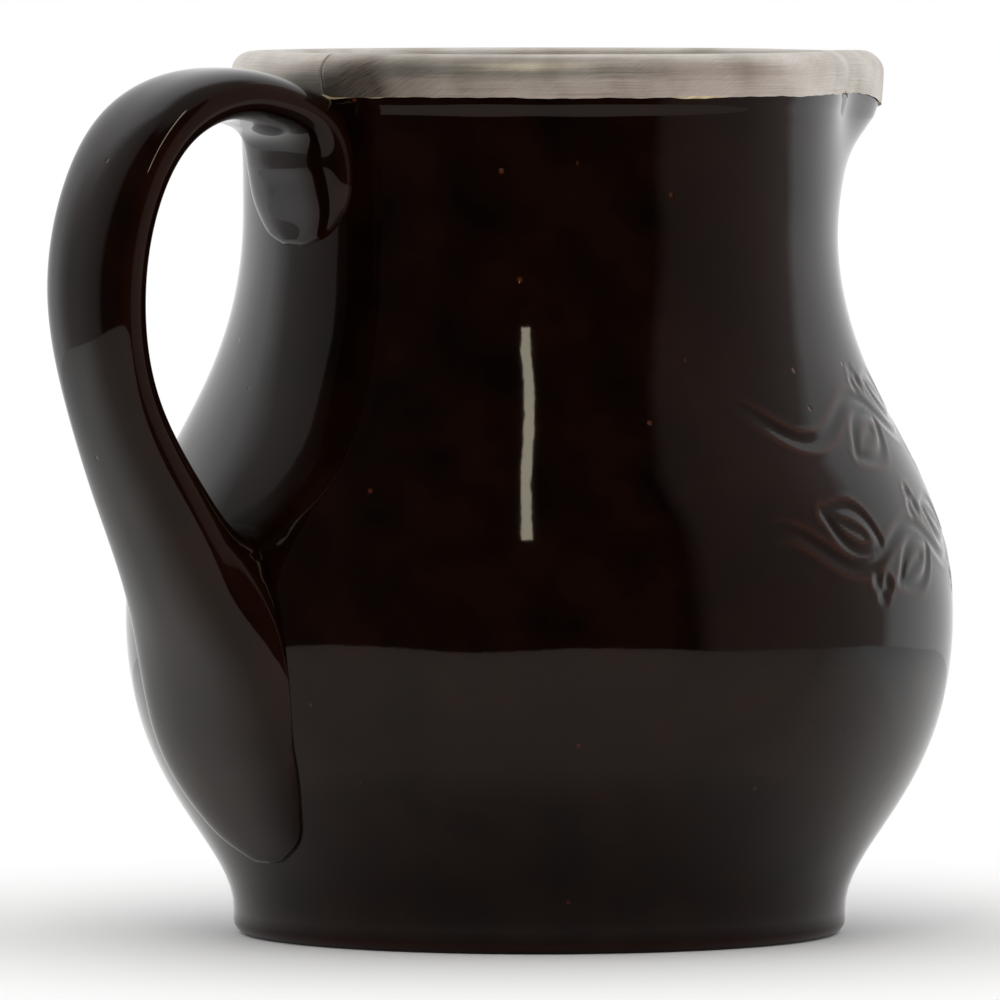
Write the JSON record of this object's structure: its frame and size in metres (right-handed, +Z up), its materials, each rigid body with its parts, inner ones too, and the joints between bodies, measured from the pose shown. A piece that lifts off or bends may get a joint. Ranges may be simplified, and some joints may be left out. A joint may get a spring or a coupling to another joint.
{
  "type": "stoneware jug",
  "caption": "Glazed stoneware pitcher with a round belly, a drawn pouring lip, a pulled strap handle and a silver collar bedded on its rim.",
  "frame": {"origin": "middle of the foot, on the surface that the jug stands on", "axes": "+Z up along the jug's axis, +X towards the pouring lip, -X towards the handle"},
  "size_m": [0.1664, 0.1408, 0.15],
  "materials": {
    "brown_glaze": "glossy dark treacle-brown glaze",
    "silver": "worn polished silver with fine scratches",
    "solder": "dull silver solder",
    "plaster": "matt yellowish plaster"
  },
  "bodies": {
    "root": {"jug_body": "brown_glaze", "handle": "brown_glaze", "rim_collar": "silver", "collar_seam": "solder", "rim_bedding": "plaster"}
  },
  "joints": []
}
